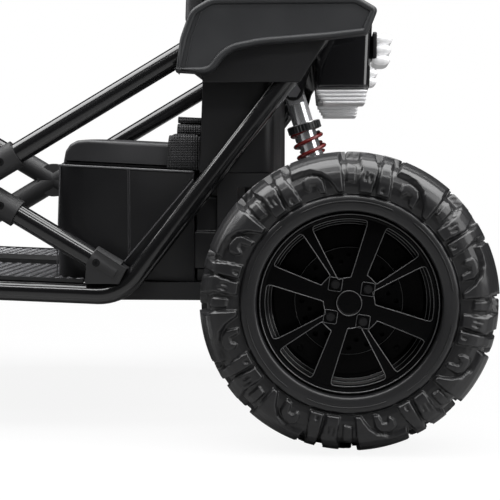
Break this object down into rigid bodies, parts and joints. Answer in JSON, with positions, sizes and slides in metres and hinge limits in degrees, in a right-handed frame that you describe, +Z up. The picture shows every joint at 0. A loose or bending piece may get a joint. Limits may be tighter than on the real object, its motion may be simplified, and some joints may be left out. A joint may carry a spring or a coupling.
{
  "type": "off road go kart",
  "caption": "Child's electric off-road kart: tubular side frames with X braces, bench seat, treaded tyres, swing arm on coil-over shock absorbers, wheel-steered front axle.",
  "frame": {"origin": "on the ground, under the middle of the overall box, midway between the axles", "axes": "+Z up, -X forwards, -Y the kart's left"},
  "size_m": [1.2301, 0.858, 0.6526],
  "materials": {
    "frame_tube": "gloss black powder coat",
    "joint_plastic": "fine-grained dark grey",
    "fastener": "zinc plated",
    "rim_fastener": "black oxide",
    "floor_plate": "black, embossed anti-slip pattern",
    "chassis_steel": "satin black",
    "seat_plastic": "satin black moulding",
    "seat_cover": "smooth dark grey seat cover",
    "webbing": "black woven webbing",
    "battery_case": "dark grey",
    "black_plastic": "black",
    "pod_plastic": "grey grained plastic",
    "gloss_shell": "gloss black",
    "silver_trim": "metallised silver",
    "lamp_lens": "clear moulded lens",
    "zinc_steel": "zinc plated",
    "grip_plastic": "soft black",
    "horn_plastic": "dark red",
    "red_switch": "red",
    "gearbox_plastic": "dark grey",
    "chrome_damper": "polished",
    "spring_red": "red gloss enamel",
    "tyre_rubber": "matt dark grey rubber",
    "rim_black": "satin black"
  },
  "bodies": {
    "frame": {"side_tube_left": "frame_tube", "side_tube_right": "frame_tube", "cross_tubes": "frame_tube", "brace_tubes": "frame_tube", "brace_joints": "joint_plastic", "joint_screws": "fastener", "corner_boots": "joint_plastic", "floor_pan": "floor_plate", "front_chassis": "chassis_steel", "rear_chassis": "chassis_steel", "pivot_bolts": "fastener", "back_hoop": "frame_tube", "seat_box": "seat_plastic", "seat_cushion": "seat_cover", "back_box": "seat_plastic", "back_cushion": "seat_cover", "lap_belts": "webbing", "belt_buckle": "black_plastic", "battery": "battery_case", "controller_box": "black_plastic", "side_pod_left": "pod_plastic", "side_pod_right": "pod_plastic", "inner_panels": "black_plastic", "tail_shell": "gloss_shell", "fin_blocks": "silver_trim", "tail_lamps": "lamp_lens", "front_cowl": "pod_plastic", "headlights": "lamp_lens", "front_bumper": "frame_tube", "dashboard": "black_plastic"},
    "steering": {"steering_column": "zinc_steel", "steering_wheel": "grip_plastic"},
    "horn": {"horn_button": "horn_plastic"},
    "power_switch": {"power_switch": "red_switch"},
    "direction_switch": {"direction_switch": "black_plastic"},
    "pedal": {"pedal": "black_plastic"},
    "tie_rod": {"tie_rod": "zinc_steel"},
    "knuckle_left": {"knuckle_left": "chassis_steel"},
    "knuckle_right": {"knuckle_right": "chassis_steel"},
    "swing_arm": {"swing_arm": "chassis_steel", "rear_axle": "zinc_steel", "motor_gearboxes": "gearbox_plastic"},
    "shock_body_left": {"shock_body_left": "chrome_damper", "shock_spring_left": "spring_red"},
    "shock_body_right": {"shock_body_right": "chrome_damper", "shock_spring_right": "spring_red"},
    "shock_rod_left": {"shock_rod_left": "chrome_damper"},
    "shock_rod_right": {"shock_rod_right": "chrome_damper"},
    "front_left_wheel": {"front_left_tyre": "tyre_rubber", "front_left_rim": "rim_black", "front_left_bolts": "rim_fastener"},
    "front_right_wheel": {"front_right_tyre": "tyre_rubber", "front_right_rim": "rim_black", "front_right_bolts": "rim_fastener"},
    "rear_left_wheel": {"rear_left_tyre": "tyre_rubber", "rear_left_rim": "rim_black", "rear_left_bolts": "rim_fastener"},
    "rear_right_wheel": {"rear_right_tyre": "tyre_rubber", "rear_right_rim": "rim_black", "rear_right_bolts": "rim_fastener"}
  },
  "joints": [
    {"name": "steering_turn", "type": "hinge", "parent": "frame", "child": "steering", "pos_m": [-0.42331, 0, 0.22484], "axis": [0.7349, 0, 0.6782], "range_deg": [-36, 36]},
    {"name": "knuckle_left_steer", "type": "hinge", "parent": "frame", "child": "knuckle_left", "pos_m": [-0.45, -0.24, 0.165], "axis": [0, 0, 1], "range_deg": [-21.8, 21.8]},
    {"name": "knuckle_right_steer", "type": "hinge", "parent": "frame", "child": "knuckle_right", "pos_m": [-0.45, 0.24, 0.165], "axis": [0, 0, 1], "range_deg": [-21.8, 21.8]},
    {"name": "tie_rod_slide", "type": "slide", "parent": "frame", "child": "tie_rod", "axis": [0, 1, 0], "range_m": [-0.0172, 0.0172]},
    {"name": "horn_press", "type": "slide", "parent": "steering", "child": "horn", "axis": [-0.7349, 0, -0.6782], "range_m": [0, 0.002], "stiffness_N_per_m": 600, "springref_m": -0.001},
    {"name": "power_switch_rock", "type": "hinge", "parent": "frame", "child": "power_switch", "pos_m": [-0.22502, -0.11, 0.4758], "axis": [0, 0, 1], "range_deg": [-7, 7]},
    {"name": "direction_switch_rock", "type": "hinge", "parent": "frame", "child": "direction_switch", "pos_m": [-0.22502, 0.11, 0.4758], "axis": [0, 0, 1], "range_deg": [-7, 7]},
    {"name": "pedal_press", "type": "hinge", "parent": "frame", "child": "pedal", "pos_m": [-0.318, 0.1, 0.20976], "axis": [0, -1, 0], "range_deg": [0, 14], "stiffness_Nm_per_rad": 2, "springref_deg": -11.46},
    {"name": "swing_arm_travel", "type": "hinge", "parent": "frame", "child": "swing_arm", "pos_m": [0.31, 0, 0.165], "axis": [0, -1, 0], "range_deg": [-6, 8], "stiffness_Nm_per_rad": 600, "springref_deg": -2.86},
    {"name": "shock_left_tilt", "type": "hinge", "parent": "frame", "child": "shock_body_left", "pos_m": [0.3856, -0.245, 0.40342], "axis": [0, -1, 0], "range_deg": [-0.4, 0.4]},
    {"name": "shock_left_stroke", "type": "slide", "parent": "shock_body_left", "child": "shock_rod_left", "axis": [-0.2924, 0, 0.9563], "range_m": [-0.0152, 0.0202], "deforming": ["shock_spring_left"]},
    {"name": "shock_right_tilt", "type": "hinge", "parent": "frame", "child": "shock_body_right", "pos_m": [0.3856, 0.245, 0.40342], "axis": [0, -1, 0], "range_deg": [-0.4, 0.4]},
    {"name": "shock_right_stroke", "type": "slide", "parent": "shock_body_right", "child": "shock_rod_right", "axis": [-0.2924, 0, 0.9563], "range_m": [-0.0152, 0.0202], "deforming": ["shock_spring_right"]},
    {"name": "front_left_spin", "type": "hinge", "parent": "knuckle_left", "child": "front_left_wheel", "pos_m": [-0.45, -0.364, 0.165], "axis": [0, 1, 0], "continuous": true},
    {"name": "front_right_spin", "type": "hinge", "parent": "knuckle_right", "child": "front_right_wheel", "pos_m": [-0.45, 0.364, 0.165], "axis": [0, 1, 0], "continuous": true},
    {"name": "rear_left_spin", "type": "hinge", "parent": "swing_arm", "child": "rear_left_wheel", "pos_m": [0.45, -0.364, 0.165], "axis": [0, 1, 0], "continuous": true},
    {"name": "rear_right_spin", "type": "hinge", "parent": "swing_arm", "child": "rear_right_wheel", "pos_m": [0.45, 0.364, 0.165], "axis": [0, 1, 0], "continuous": true}
  ],
  "couplings": [
    {"joint": "knuckle_left_steer", "follows": "steering_turn", "ratio": 0.6},
    {"joint": "knuckle_right_steer", "follows": "steering_turn", "ratio": 0.6},
    {"joint": "tie_rod_slide", "follows": "steering_turn", "m_per_rad": 0.027},
    {"joint": "shock_left_tilt", "follows": "swing_arm_travel", "ratio": 0.01951},
    {"joint": "shock_left_stroke", "follows": "swing_arm_travel", "m_per_rad": 0.14201},
    {"joint": "shock_right_tilt", "follows": "swing_arm_travel", "ratio": 0.01951},
    {"joint": "shock_right_stroke", "follows": "swing_arm_travel", "m_per_rad": 0.14201}
  ]
}
